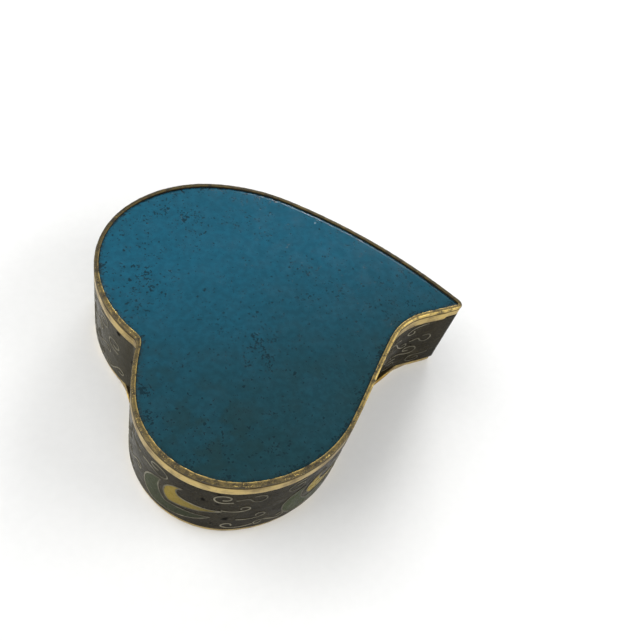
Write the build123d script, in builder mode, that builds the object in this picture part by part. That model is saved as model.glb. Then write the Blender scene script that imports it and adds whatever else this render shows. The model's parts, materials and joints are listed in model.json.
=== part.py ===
"""Heart-shaped enamelled copper trinket box with a lift-off lid.

Units are millimetres, +Z is up. The origin is the middle of the heart's footprint, on the
surface that the box stands on. The heart's tip points along +X and its larger lobe lies
towards +Y. The lid rides up along +Z.

Insets are measured inwards from the heart's outer outline, so one number places a ring,
the piece that fits inside it and the gap between them.
"""

import os

from build123d import *

# --- Outline, seen from above. Places are measured from the leftmost and the nearest point. ---
LENGTH = 77.0              # from the larger lobe to the tip's corner, before it is rounded
FAR_LOBE_WIDTH = 41.8      # from the notch to the outermost point of the larger lobe
NEAR_LOBE_WIDTH = 30.2     # from the notch to the outermost point of the smaller lobe
NOTCH_DEPTH = 7.9          # how far the notch lies behind the larger lobe
LOBE_SETBACK = 6.5         # how far the smaller lobe lies behind the larger lobe
FAR_LOBE_CORNER = (25.0, 23.5)    # run and rise of the larger lobe's rounded back corner
NEAR_LOBE_CORNER = (18.8, 18.7)   # run and rise of the smaller lobe's rounded back corner
SHOULDER = (16.9, 4.25)    # run and drop of the larger lobe's shoulder
HIP_RUN = 14.0             # from the smaller lobe's nearest point to its side's corner
TIP_RISE = 8.1             # height of the tip above the notch
WAIST_BACK = 15.7          # the waist's corner, back from the tip
WAIST_DROP = 4.2           # the waist's corner, below the tip
WAIST_RADIUS = 14.0        # hollow curve beside the tip
NOTCH_RADIUS = 2.2         # rounding at the bottom of the notch
TIP_RADIUS = 1.2           # rounding of the tip
INNER_TIP_RADIUS = 0.5     # least rounding of the tip of an inner wall

# --- Heights ---
HEIGHT = 21.0              # overall, with the lid on
FOOT_HEIGHT = 1.8
BAND_HEIGHT = 2.4          # brass band round the mouth of the base
COLLAR_HEIGHT = 3.0        # how far the lid's collar reaches down into the mouth

# --- Copper, brass and enamel thicknesses ---
GROUND_THICKNESS = 0.5     # outer wall enamel, and the wires and leaves set in it
WALL_THICKNESS = 0.7       # copper wall
LINING_THICKNESS = 0.3     # enamel inside the box
FLOOR_THICKNESS = 0.7      # copper floor
UNDERSIDE_THICKNESS = 0.3  # enamel under the floor
FOOT_INSET = 0.7
FOOT_THICKNESS = 1.2
LID_RIM_WIDTH = 0.9
LID_PLATE_THICKNESS = 0.4  # copper plate of the lid
LID_ENAMEL_THICKNESS = 0.25
LID_RECESS = 0.25          # the lid's enamel lies this far below its rim
LID_LINING_THICKNESS = 0.3
COLLAR_THICKNESS = 0.7
MOUTH_CLEARANCE = 0.3      # round the lid's collar, in the mouth of the base

# --- Edges ---
SEAM_CHAMFER = 0.15        # both sides of the seam between lid and base
LID_EDGE_RADIUS = 0.35
FOOT_EDGE_RADIUS = 0.3
BAND_STEP_HEIGHT = 0.5     # the band is this much lower where its ends meet near the tip
BAND_STEP_LENGTH = 3.4     # from the tip to the band's joint

# --- Wires and leaves in the wall enamel ---
WIRE_WIDTH = 0.3
SCROLLS_ROUND = 30         # places for cloud scrolls round the wall, in each row
SCROLL_ROWS = 4
SCROLL_GAP = 0.5           # least enamel between a scroll and a leaf
CORNER_GAP = 4.0           # from a scroll's middle to the notch or the tip
LEAF_HEIGHT = 6.8          # middle of a leaf spray, above the bottom of the enamelled wall
LEAF_BEARINGS = {"near": (-122, -38), "far": (58, 112)}  # degrees, seen from each lobe's middle

# --- Worked out from the sizes above ---
WIDTH = FAR_LOBE_WIDTH + NEAR_LOBE_WIDTH
SHELL_THICKNESS = GROUND_THICKNESS + WALL_THICKNESS + LINING_THICKNESS
LID_EDGE_HEIGHT = LID_PLATE_THICKNESS + LID_ENAMEL_THICKNESS + LID_RECESS
SEAT = HEIGHT - LID_EDGE_HEIGHT            # where the lid rests on the base
BAND_BOTTOM = SEAT - BAND_HEIGHT
FLOOR_TOP = FOOT_HEIGHT + FLOOR_THICKNESS
WALL_HEIGHT = BAND_BOTTOM - FOOT_HEIGHT
COLLAR_INSET = SHELL_THICKNESS + MOUTH_CLEARANCE
FAR_LOBE_MIDDLE = (FAR_LOBE_CORNER[0], WIDTH - FAR_LOBE_CORNER[1])
NEAR_LOBE_MIDDLE = (LOBE_SETBACK + NEAR_LOBE_CORNER[0], NEAR_LOBE_CORNER[1])


def rounded_corner(side, top):
    """Quarter oval of two tangent arcs, from a lobe's back, going straight up or down, to its
    outermost point, going along X. Call it inside a BuildLine block."""
    run = top[0] - side[0]
    rise = top[1] - side[1]
    half = 0.5 ** 0.5
    side_radius = (half * abs(rise) - (1 - half) * run) / (2 * half - 1)
    middle = (
        side[0] + side_radius * (1 - half),
        side[1] + (1 if rise > 0 else -1) * side_radius * half,
    )
    lower = TangentArc(side, middle, tangent=(0, rise))
    return TangentArc(middle, top, tangent=lower % 1)


def sharp_heart():
    """The heart's outline with its notch and waist rounded and its tip left sharp."""
    far_side = (0, WIDTH - FAR_LOBE_CORNER[1])
    far_top = (FAR_LOBE_CORNER[0], WIDTH)
    shoulder_end = (far_top[0] + SHOULDER[0], far_top[1] - SHOULDER[1])
    notch = (NOTCH_DEPTH, NEAR_LOBE_WIDTH)
    tip = (LENGTH, NEAR_LOBE_WIDTH + TIP_RISE)
    waist = (LENGTH - WAIST_BACK, tip[1] - WAIST_DROP)
    near_side = (LOBE_SETBACK, NEAR_LOBE_CORNER[1])
    near_bottom = (LOBE_SETBACK + NEAR_LOBE_CORNER[0], 0)
    hip = Vector(near_bottom[0] + HIP_RUN, 0)
    hip_end = hip + (Vector(*waist) - hip).normalized() * HIP_RUN

    with BuildSketch() as heart:
        with BuildLine():
            TangentArc(far_side, notch, tangent=(0, -1))
            rounded_corner(far_side, far_top)
            shoulder = TangentArc(far_top, shoulder_end, tangent=(1, 0))
            TangentArc(shoulder_end, tip, tangent=shoulder % 1)
            Line(tip, waist)
            Line(waist, hip_end)
            TangentArc(near_bottom, hip_end, tangent=(1, 0))
            rounded_corner(near_side, near_bottom)
            TangentArc(near_side, notch, tangent=(0, 1))
        make_face()
        fillet(heart.vertices().sort_by_distance(notch)[0], NOTCH_RADIUS)
        fillet(heart.vertices().sort_by_distance(waist)[0], WAIST_RADIUS)
    return heart.sketch


sharp = sharp_heart()
with BuildSketch() as rounded:
    add(sharp)
    fillet(rounded.vertices().sort_by(Axis.X)[-1], TIP_RADIUS)
FOOTPRINT_MIDDLE = rounded.sketch.bounding_box().center()
with BuildSketch() as centred:
    with Locations((-FOOTPRINT_MIDDLE.X, -FOOTPRINT_MIDDLE.Y)):
        add(sharp)
outline = centred.sketch


def heart_inset(inset):
    """The heart's face drawn in by inset, with its tip rounded."""
    with BuildSketch() as heart:
        add(outline)
        if inset:
            offset(amount=-inset, kind=Kind.INTERSECTION)
        tip = heart.vertices().sort_by(Axis.X)[-1]
        fillet(tip, max(TIP_RADIUS - inset, INNER_TIP_RADIUS))
    return heart.sketch


def heart_ring(outer, inner):
    """The flat ring between two insets."""
    with BuildSketch() as ring:
        add(heart_inset(outer))
        add(heart_inset(inner), mode=Mode.SUBTRACT)
    return ring.sketch


def finish(piece, name):
    """Label a finished piece and write it out."""
    piece.part.label = name
    export_step(piece.part, f"parts/{name}.step")


os.makedirs("parts", exist_ok=True)

# --- Base: metal ---
with BuildPart() as base_wall:
    with BuildSketch(Plane.XY.offset(FOOT_HEIGHT)):
        add(heart_ring(GROUND_THICKNESS, GROUND_THICKNESS + WALL_THICKNESS))
    extrude(amount=WALL_HEIGHT)
finish(base_wall, "base_wall")

with BuildPart() as base_floor:
    with BuildSketch(Plane.XY.offset(FOOT_HEIGHT)):
        add(heart_inset(GROUND_THICKNESS + WALL_THICKNESS))
    extrude(amount=FLOOR_THICKNESS)
finish(base_floor, "base_floor")

with BuildPart() as foot_band:
    with BuildSketch():
        add(heart_ring(FOOT_INSET, FOOT_INSET + FOOT_THICKNESS))
    extrude(amount=FOOT_HEIGHT)
    fillet(foot_band.faces().sort_by(Axis.Z)[0].outer_wire().edges(), FOOT_EDGE_RADIUS)
finish(foot_band, "foot_band")

# The band is one strip bent round the mouth. Past the joint near the tip it is less deep.
tip_point = heart_inset(0).vertices().sort_by(Axis.X)[-1]
with BuildSketch() as step_ring:
    add(heart_ring(0, GROUND_THICKNESS))
    with Locations((tip_point.X, tip_point.Y)):
        Rectangle(2 * BAND_STEP_LENGTH, 2 * BAND_STEP_LENGTH, mode=Mode.INTERSECT)

with BuildPart() as mouth_band:
    with BuildSketch(Plane.XY.offset(BAND_BOTTOM)):
        add(heart_ring(0, SHELL_THICKNESS))
    extrude(amount=BAND_HEIGHT)
    with BuildSketch(Plane.XY.offset(BAND_BOTTOM)):
        add(step_ring.sketch)
    extrude(amount=BAND_STEP_HEIGHT, mode=Mode.SUBTRACT)
    chamfer(mouth_band.faces().sort_by(Axis.Z)[-1].outer_wire().edges(), SEAM_CHAMFER)
finish(mouth_band, "mouth_band")

# --- Base: enamel ---
with BuildPart() as ground:
    with BuildSketch(Plane.XY.offset(FOOT_HEIGHT)):
        add(heart_ring(0, GROUND_THICKNESS))
    extrude(amount=WALL_HEIGHT)
    with BuildSketch(Plane.XY.offset(BAND_BOTTOM)):
        add(step_ring.sketch)
    extrude(amount=BAND_STEP_HEIGHT)

with BuildPart() as lining_enamel:
    with BuildSketch(Plane.XY.offset(FLOOR_TOP)):
        add(heart_ring(SHELL_THICKNESS - LINING_THICKNESS, SHELL_THICKNESS))
    extrude(amount=BAND_BOTTOM - FLOOR_TOP)
finish(lining_enamel, "lining_enamel")

with BuildPart() as floor_enamel:
    with BuildSketch(Plane.XY.offset(FLOOR_TOP)):
        add(heart_inset(SHELL_THICKNESS))
    extrude(amount=LINING_THICKNESS)
finish(floor_enamel, "floor_enamel")

with BuildPart() as underside_enamel:
    with BuildSketch(Plane.XY.offset(FOOT_HEIGHT)):
        add(heart_inset(FOOT_INSET + FOOT_THICKNESS))
    extrude(amount=-UNDERSIDE_THICKNESS)
finish(underside_enamel, "underside_enamel")

# --- Base: leaves and wires set in the wall enamel ---
def yellow_leaf():
    """A hooked leaf with a long tail, its hook up and its tail to the right."""
    hook, back, throat, tail = (-0.2, 5.9), (-2.6, -1.2), (0.2, 2.2), (7.4, 1.5)
    with BuildSketch() as leaf:
        with BuildLine():
            ThreePointArc(hook, (-3.9, 2.6), back)
            ThreePointArc(back, (2.5, -0.1), tail)
            ThreePointArc(tail, (3.8, 1.7), throat)
            ThreePointArc(throat, (-1.4, 3.8), hook)
        make_face()
    return leaf.sketch


def green_leaf():
    """A broad leaf that curves round the yellow leaf's back and under its tail."""
    top, foot, tail, throat = (-4.8, 4.2), (-6.4, -5.4), (5.6, -1.6), (-3.4, -2.4)
    with BuildSketch() as leaf:
        with BuildLine():
            ThreePointArc(top, (-8.9, -1.2), foot)
            ThreePointArc(foot, (-0.4, -5.0), tail)
            ThreePointArc(tail, (0.8, -2.0), throat)
            ThreePointArc(throat, (-5.1, 0.6), top)
        make_face()
    return leaf.sketch


def scroll(side):
    """One cloud scroll: a curled end, a run to a round bend, and a long tail back below it."""
    with BuildSketch() as wire:
        with BuildLine():
            curl = ThreePointArc((-side * 0.5, -0.3), (-side * 1.4, 0.1), (-side * 0.8, 0.8))
            run = TangentArc(curl @ 1, (side * 2.0, 0.7), tangent=curl % 1)
            bend = TangentArc(run @ 1, (side * 1.7, -1.1), tangent=run % 1)
            TangentArc(bend @ 1, (-side * 3.2, -1.0), tangent=bend % 1)
        trace(line_width=WIRE_WIDTH)
    return wire.sketch


def ringed(shape):
    """A flat shape and the wire bent round its edge."""
    with BuildSketch() as both:
        offset(shape, amount=WIRE_WIDTH)
    with BuildSketch() as wire:
        add(both.sketch)
        add(shape, mode=Mode.SUBTRACT)
    return both.sketch, wire.sketch


def lobe_plane(middle, bearing, height):
    """An upright plane through the middle of a lobe, facing out at a bearing in degrees."""
    out = Vector(1, 0, 0).rotate(Axis.Z, bearing)
    return Plane(
        origin=(middle[0] - FOOTPRINT_MIDDLE.X, middle[1] - FOOTPRINT_MIDDLE.Y, height),
        x_dir=Vector(0, 0, 1).cross(out),
        z_dir=out,
    )


def wall_plane(share, height):
    """An upright plane just behind the wall's enamel, a share of the way round the outline."""
    along = outline_wire.tangent_at(share)
    out = along.cross(Vector(0, 0, 1))
    point = outline_wire.position_at(share) - out * 2 * GROUND_THICKNESS
    return Plane(origin=(point.X, point.Y, height), x_dir=along, z_dir=out)


def prisms(places, depth):
    """Flat shapes, each pushed out from its plane by depth."""
    with BuildPart() as blanks:
        for plane, shape in places:
            with BuildSketch(plane):
                add(shape)
            extrude(amount=depth)
    return blanks.part


def set_in_ground(blanks):
    """The part of the wall's enamel that the blanks pass through."""
    with BuildPart() as pieces:
        add(ground.part)
        add(blanks, mode=Mode.INTERSECT)
    return pieces


outline_wire = heart_inset(0).wires()[0]
leaf_planes = [
    lobe_plane(middle, bearing, FOOT_HEIGHT + LEAF_HEIGHT)
    for middle, bearings in (
        (NEAR_LOBE_MIDDLE, LEAF_BEARINGS["near"]),
        (FAR_LOBE_MIDDLE, LEAF_BEARINGS["far"]),
    )
    for bearing in bearings
]
yellow_ringed, yellow_wire = ringed(yellow_leaf())
green_ringed, green_wire = ringed(green_leaf())

leaf_yellow = set_in_ground(prisms([(plane, yellow_leaf()) for plane in leaf_planes], LENGTH))
finish(leaf_yellow, "leaf_yellow")
leaf_green = set_in_ground(prisms([(plane, green_leaf()) for plane in leaf_planes], LENGTH))
finish(leaf_green, "leaf_green")
leaf_wires = set_in_ground(
    prisms([(plane, wire) for plane in leaf_planes for wire in (yellow_wire, green_wire)], LENGTH)
)
finish(leaf_wires, "leaf_wires")
leaf_blanks = prisms(
    [(plane, shape) for plane in leaf_planes for shape in (yellow_ringed, green_ringed)], LENGTH
)

notch_point = heart_inset(0).vertices().sort_by_distance(
    (NOTCH_DEPTH - FOOTPRINT_MIDDLE.X, NEAR_LOBE_WIDTH - FOOTPRINT_MIDDLE.Y)
)[0]
scrolls = {1: scroll(1), -1: scroll(-1)}
scroll_places = []
for row in range(SCROLL_ROWS):
    height = FOOT_HEIGHT + WALL_HEIGHT * (row + 0.5) / SCROLL_ROWS
    for place in range(SCROLLS_ROUND):
        share = (place + 0.5 * (row % 2)) / SCROLLS_ROUND
        point = outline_wire.position_at(share)
        corners = [Vector(corner.X, corner.Y) for corner in (tip_point, notch_point)]
        if min((point - corner).length for corner in corners) < CORNER_GAP:
            continue
        shape = scrolls[1 if (row + place) % 2 else -1]
        plane = wall_plane(share, height)
        blank = prisms([(plane, shape)], 4 * GROUND_THICKNESS)
        if blank.distance_to(leaf_wires.part) > SCROLL_GAP:
            scroll_places.append((plane, shape))
scroll_blanks = prisms(scroll_places, 4 * GROUND_THICKNESS)
cloud_wires = set_in_ground(scroll_blanks)
finish(cloud_wires, "cloud_wires")

with BuildPart() as wall_enamel:
    add(ground.part)
    add(leaf_blanks, mode=Mode.SUBTRACT)
    add(scroll_blanks, mode=Mode.SUBTRACT)
finish(wall_enamel, "wall_enamel")

# --- Lid ---
with BuildPart() as lid_rim:
    with BuildSketch(Plane.XY.offset(SEAT)):
        add(heart_ring(0, LID_RIM_WIDTH))
    extrude(amount=LID_EDGE_HEIGHT)
    fillet(lid_rim.faces().sort_by(Axis.Z)[-1].outer_wire().edges(), LID_EDGE_RADIUS)
    chamfer(lid_rim.faces().sort_by(Axis.Z)[0].outer_wire().edges(), SEAM_CHAMFER)
finish(lid_rim, "lid_rim")

with BuildPart() as lid_plate:
    with BuildSketch(Plane.XY.offset(SEAT)):
        add(heart_inset(LID_RIM_WIDTH))
    extrude(amount=LID_PLATE_THICKNESS)
finish(lid_plate, "lid_plate")

with BuildPart() as lid_enamel:
    with BuildSketch(Plane.XY.offset(SEAT + LID_PLATE_THICKNESS)):
        add(heart_inset(LID_RIM_WIDTH))
    extrude(amount=LID_ENAMEL_THICKNESS)
finish(lid_enamel, "lid_enamel")

with BuildPart() as lid_collar:
    with BuildSketch(Plane.XY.offset(SEAT - COLLAR_HEIGHT)):
        add(heart_ring(COLLAR_INSET, COLLAR_INSET + COLLAR_THICKNESS))
    extrude(amount=COLLAR_HEIGHT)
    chamfer(lid_collar.faces().sort_by(Axis.Z)[0].outer_wire().edges(), SEAM_CHAMFER)
finish(lid_collar, "lid_collar")

with BuildPart() as lid_lining:
    with BuildSketch(Plane.XY.offset(SEAT)):
        add(heart_inset(COLLAR_INSET + COLLAR_THICKNESS))
    extrude(amount=-LID_LINING_THICKNESS)
finish(lid_lining, "lid_lining")
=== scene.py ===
"""Heart-shaped trinket box: enamelled copper with brass bands and a flat lift-off lid.

Laid out as a Blender add-on, and run as a script. Every length is in metres, in the frame's axes:
+Z up out of the lid, +X towards the heart's tip, +Y towards the larger lobe.
A place on the wall is given by how far round the outline it lies, counted
anticlockwise from the notch, and by its height.
"""

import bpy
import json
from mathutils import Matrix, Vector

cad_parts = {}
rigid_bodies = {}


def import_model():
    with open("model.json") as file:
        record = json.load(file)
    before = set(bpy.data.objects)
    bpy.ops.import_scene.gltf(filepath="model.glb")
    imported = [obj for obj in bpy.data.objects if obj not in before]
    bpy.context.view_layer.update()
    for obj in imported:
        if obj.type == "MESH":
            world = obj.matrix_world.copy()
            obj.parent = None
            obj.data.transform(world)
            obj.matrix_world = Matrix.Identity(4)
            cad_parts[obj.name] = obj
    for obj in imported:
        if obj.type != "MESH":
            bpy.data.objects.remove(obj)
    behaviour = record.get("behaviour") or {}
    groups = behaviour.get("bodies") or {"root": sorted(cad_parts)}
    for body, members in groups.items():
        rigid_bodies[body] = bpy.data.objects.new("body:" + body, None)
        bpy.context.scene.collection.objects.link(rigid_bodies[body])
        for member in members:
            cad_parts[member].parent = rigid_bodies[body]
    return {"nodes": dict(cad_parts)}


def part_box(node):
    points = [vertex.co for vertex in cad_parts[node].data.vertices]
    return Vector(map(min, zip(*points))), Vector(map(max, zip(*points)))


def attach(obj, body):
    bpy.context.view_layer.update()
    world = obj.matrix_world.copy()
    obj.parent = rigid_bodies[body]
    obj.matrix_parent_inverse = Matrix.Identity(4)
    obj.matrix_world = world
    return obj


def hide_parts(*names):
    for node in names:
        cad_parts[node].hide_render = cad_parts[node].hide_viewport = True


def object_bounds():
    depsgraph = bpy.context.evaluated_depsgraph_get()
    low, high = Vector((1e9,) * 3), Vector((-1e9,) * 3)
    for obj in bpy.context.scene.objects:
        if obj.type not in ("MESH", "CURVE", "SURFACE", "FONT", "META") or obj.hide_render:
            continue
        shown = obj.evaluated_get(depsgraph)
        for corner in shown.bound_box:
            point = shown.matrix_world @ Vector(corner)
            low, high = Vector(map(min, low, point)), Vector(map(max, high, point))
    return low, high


bl_info = {
    "name": "Heart trinket box",
    "version": (1, 0, 0),
    "blender": (4, 5, 0),
    "location": "3D View > Sidebar > Trinket Box",
    "description": "Enamel, brass and wire work of a heart-shaped trinket box",
    "category": "Object",
}

import json
import math
import random

import bmesh
import bpy
import numpy as np
from bpy.props import FloatProperty, FloatVectorProperty, IntProperty, PointerProperty
from mathutils import Vector, noise
from mathutils.geometry import delaunay_2d_cdt

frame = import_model()
CAD_LOW, CAD_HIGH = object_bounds()
MM = 0.001
UP = (0.0, 0.0, 1.0)
WALL_UV = "Round the wall"
WALL_SHINE = 0.022  # the wall's enamels are rubbed dull


# --- The heart, read from the frame ---


def levels(node):
    """The heights at which a CAD node has corners, lowest first."""
    return sorted({round(v.co.z, 6) for v in frame["nodes"][node].data.vertices})


def traced_outline():
    """The corners of the mouth band's outside, just below the seam, in order."""
    bm = bmesh.new()
    bm.from_mesh(frame["nodes"]["mouth_band"].data)
    bmesh.ops.remove_doubles(bm, verts=bm.verts, dist=0.01 * MM)
    level = levels("mouth_band")[-2]
    ring = {v for v in bm.verts if abs(v.co.z - level) < 0.01 * MM}
    before, here = None, min(ring, key=lambda v: v.co.x)
    order = [here]
    while True:
        joined = [edge.other_vert(here) for edge in here.link_edges]
        following = next(v for v in joined if v in ring and v is not before)
        if following is order[0]:
            break
        before, here = here, following
        order.append(here)
    corners = np.array([v.co.xy for v in order])
    bm.free()
    x, y = corners.T
    turns_left = np.sum(x * np.roll(y, -1) - y * np.roll(x, -1)) > 0
    return corners if turns_left else corners[::-1]


def resampled(corners, step):
    """A smooth closed line through the corners, as points a step apart."""
    before = corners - np.roll(corners, 1, 0)
    after = np.roll(corners, -1, 0) - corners
    a = np.linalg.norm(before, axis=1)[:, None]
    b = np.linalg.norm(after, axis=1)[:, None]
    slope = (before / a * b + after / b * a) / (a + b)
    t = np.linspace(0, 1, 24, endpoint=False)[:, None, None]
    line = (
        (2 * t**3 - 3 * t**2 + 1) * corners
        + (t**3 - 2 * t**2 + t) * b * slope
        + (3 * t**2 - 2 * t**3) * np.roll(corners, -1, 0)
        + (t**3 - t**2) * b * np.roll(slope, -1, 0)
    )
    line = line.transpose(1, 0, 2).reshape(-1, 2)
    closed = np.vstack([line, line[:1]])
    reach = np.concatenate([[0], np.cumsum(np.linalg.norm(np.diff(closed, axis=0), axis=1))])
    count = round(reach[-1] / step)
    even = np.arange(count) * reach[-1] / count
    return np.stack([np.interp(even, reach, closed[:, k]) for k in (0, 1)], 1), reach[-1]


def directions(loop):
    """Unit tangents and outward normals of a closed anticlockwise loop."""
    along = np.roll(loop, -1, 0) - np.roll(loop, 1, 0)
    along /= np.linalg.norm(along, axis=1)[:, None]
    return along, np.stack([along[:, 1], -along[:, 0]], 1)


def bends(loop, reach):
    """How sharply a loop turns left over a few points each side."""
    along, _ = directions(loop)
    a, b = np.roll(along, reach, 0), np.roll(along, -reach, 0)
    return a[:, 0] * b[:, 1] - a[:, 1] * b[:, 0]


STEP = 0.25 * MM
OUTLINE, PERIMETER = resampled(traced_outline(), STEP)
OUTLINE = np.roll(OUTLINE, -int(np.argmin(bends(OUTLINE, 3))), 0)
COUNT = len(OUTLINE)
ALONG, OUTWARD = directions(OUTLINE)
ROUND = np.arange(COUNT) * PERIMETER / COUNT
TIP_ROUND = ROUND[int(np.argmax(bends(OUTLINE, 3)))]


def inset_of(node):
    """How far a CAD node's side lies inside the outline."""
    low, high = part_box(node)
    return ((CAD_HIGH.y - CAD_LOW.y) - (high.y - low.y)) / 2


def away(points):
    """The distance of points inside the heart from its outline."""
    found = np.empty(len(points))
    for start in range(0, len(points), 2000):
        part = points[start : start + 2000]
        gaps = np.linalg.norm(part[:, None] - OUTLINE[None], axis=2)
        nearest = np.argmin(gaps, 1)
        side = np.sum((OUTLINE[nearest] - part) * OUTWARD[nearest], axis=1)
        found[start : start + 2000] = np.where(side > 0, gaps.min(1), -gaps.min(1))
    return found


def inset_loop(depth):
    """The outline moved inwards. Where it would cross itself, its points close up to a corner."""
    depth = np.broadcast_to(depth, COUNT)
    moved = OUTLINE - OUTWARD * depth[:, None]
    if depth.max() < 0.5 * MM:
        return moved
    kept = away(moved) > depth * 0.995
    index = np.arange(COUNT)
    return np.stack(
        [np.interp(index, index[kept], moved[kept, k], period=COUNT) for k in (0, 1)], 1
    )


def on_wall(round_, height, proud):
    """Points on the wall, from how far round, how high and how far out they are."""
    round_ = np.asarray(round_, float)
    at = [np.interp(round_, ROUND, OUTLINE[:, k], period=PERIMETER) for k in (0, 1)]
    out = [np.interp(round_, ROUND, OUTWARD[:, k], period=PERIMETER) for k in (0, 1)]
    return np.stack(
        [at[0] + out[0] * proud, at[1] + out[1] * proud, np.broadcast_to(height, round_.shape)], -1
    )


def how_far_round(points):
    """The place on the outline nearest to each point."""
    gaps = np.linalg.norm(points[:, None] - OUTLINE[None], axis=2)
    return ROUND[np.argmin(gaps, 1)]


def groups_round(node):
    """The stretches of the outline that a CAD node's separate solids cover, as (first, last)."""
    corners = np.array([v.co.xy for v in frame["nodes"][node].data.vertices])
    places = np.unique(how_far_round(corners))
    breaks = np.flatnonzero(np.diff(places) > 2.5 * MM)
    firsts = np.concatenate([[0], breaks + 1])
    lasts = np.concatenate([breaks, [len(places) - 1]])
    return [(places[a], places[b]) for a, b in zip(firsts, lasts)]


def ramp(value, low, high):
    """A smooth step from 0 at low to 1 at high."""
    t = np.clip((np.asarray(value, float) - low) / (high - low), 0, 1)
    return t * t * (3 - 2 * t)


SEAT, TOP = (corner.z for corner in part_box("lid_rim"))
ENAMEL_BED, ENAMEL_TOP = (corner.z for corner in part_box("lid_enamel"))
WALL_FOOT, STEP_TOP = (corner.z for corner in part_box("wall_enamel"))
BAND_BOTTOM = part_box("mouth_band")[0].z
FLOOR_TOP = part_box("lining_enamel")[0].z
COLLAR_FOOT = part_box("lid_collar")[0].z
RIM_INSIDE = inset_of("lid_plate")
GROUND_INSIDE = inset_of("base_wall")
LINING_OUTSIDE = inset_of("lining_enamel")
SHELL = inset_of("floor_enamel")
COLLAR_OUTSIDE = inset_of("lid_collar")
COLLAR_INSIDE = inset_of("lid_lining")
FOOT_OUTSIDE = inset_of("foot_band")
FOOT_INSIDE = inset_of("underside_enamel")


# --- Sizes and colours that a user would change ---


def length(name, description, default):
    """A length property, in millimetres here and metres in the file."""
    return FloatProperty(
        name=name, description=description, default=default * MM, unit="LENGTH", precision=5
    )


def power(name, description, default):
    """A brightness property, in no unit of its own."""
    return FloatProperty(name=name, description=description, default=default, unit="NONE", min=0)


def colour(name, description, default):
    """A colour property."""
    return FloatVectorProperty(
        name=name, description=description, default=default, size=3, subtype="COLOR", min=0, max=1
    )


class TrinketSizes(bpy.types.PropertyGroup):
    """Sizes of the enamel, the wear and the wire work."""

    enamel_grid: length("Enamel grid", "Distance between the points of the lid's enamel", 0.36)
    enamel_wave: length("Enamel waves", "Height of the gentle waves in the lid's enamel", 0.022)
    shoulder_drop: length("Shoulder drop", "How far the enamel falls at its edge", 0.24)
    shoulder_width: length("Shoulder width", "Width of the enamel's rounded edge", 0.85)
    rim_wear: length("Rim wear", "Depth of the worn hollows in the lid's rim", 0.05)
    rim_wear_grain: length("Rim wear grain", "Length of one worn hollow", 0.9)
    band_wear: length("Band wear", "Depth of the small dents in the bands", 0.012)
    wall_ripple: length("Wall ripple", "Depth of the ripples in the wall's enamel", 0.03)
    foot_out: length("Foot out", "How far the foot strip stands out of its place in the frame", 0.3)
    foot_ease: length("Foot ease", "Reach over which the foot strip's bends are eased", 5.0)
    foot_proud: length("Foot proud", "How far the foot strip may come out past the wall", 0.9)
    wire_width: length("Wire width", "Width of the scroll and leaf wires", 0.28)
    wire_proud: length("Wire proud", "How far the wires stand out of the ground", 0.03)
    scroll_pitch: length("Scroll pitch", "Distance from scroll to scroll along a row", 6.7)
    scroll_wander: length("Scroll wander", "How far a scroll may lie off its row", 0.5)
    scroll_seed: IntProperty(name="Scroll seed", description="Order of the scrolls", default=7)


class TrinketColours(bpy.types.PropertyGroup):
    """Colours of the enamels and metals."""

    # The far and near lid colours are partly the enamel's tint, partly painted reflection: far side
    # lighter, near side darker.
    lid_far_tint_and_sheen: colour("Lid, far side", "Turquoise by the larger lobe", (0.006, 0.080, 0.130))
    lid_near_tint_and_shade: colour("Lid, near side", "Turquoise by the smaller lobe", (0.006, 0.036, 0.046))
    lid_stain: colour("Lid stain", "Dull green patches in the turquoise", (0.008, 0.026, 0.026))
    inside: colour("Inside enamel", "Turquoise of the linings", (0.012, 0.105, 0.150))
    ground: colour("Ground", "Nearly black enamel of the wall", (0.014, 0.0115, 0.0058))
    leaf_hook: colour("Leaf hook", "Yellow at the leaf's hooked end", (0.235, 0.168, 0.024))
    leaf_tail: colour("Leaf tail", "Yellow at the leaf's tail", (0.110, 0.088, 0.028))
    green_top: colour("Green leaf top", "Green at the top of the back leaf", (0.034, 0.042, 0.016))
    green_foot: colour("Green leaf foot", "Green at the back leaf's foot", (0.015, 0.017, 0.007))
    brass: colour("Brass", "Bright brass of the bands", (0.540, 0.390, 0.120))
    brass_dull: colour("Dull brass", "Brass where it has darkened", (0.230, 0.160, 0.055))
    rim_metal: colour("Rim metal", "Worn metal of the rim", (0.190, 0.145, 0.062))
    rim_tarnish: colour("Rim tarnish", "Tarnish on the rim", (0.035, 0.027, 0.013))
    wire: colour("Wire", "Polished top of the wires", (0.230, 0.208, 0.140))
    copper: colour("Copper", "Copper sheet", (0.350, 0.150, 0.080))


class TrinketStudio(bpy.types.PropertyGroup):
    """Light and floor."""

    key_power: power("Key light", "Power of the soft key", 4.0)
    front_power: power("Front light", "Power of the front fill", 1.15)
    right_power: power("Right light", "Power of the right fill", 2.0)
    strip_power: power("Strip light", "Power of the back strip", 1.5)
    room: power("Room", "Brightness of the room overhead", 0.26)
    horizon: power("Horizon", "Brightness at the horizon", 0.60)
    floor: colour("Floor", "Pale floor", (0.83, 0.83, 0.82))


def colours():
    """The colours in use."""
    return bpy.context.scene.trinket_colours


# --- Node helpers ---


def feed(socket, value):
    """Links a socket to another node's output, or sets it to a plain value."""
    if isinstance(value, bpy.types.NodeSocket):
        socket.id_data.links.new(value, socket)
    else:
        socket.default_value = value


def maker(tree):
    """A function that adds a node to a tree, sets its settings and fills its inputs."""

    def make(kind, inputs=None, **settings):
        node = tree.nodes.new(kind)
        for key, value in settings.items():
            setattr(node, key, value)
        for key, value in (inputs or {}).items():
            feed(node.inputs[key], value)
        return node

    return make


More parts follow.
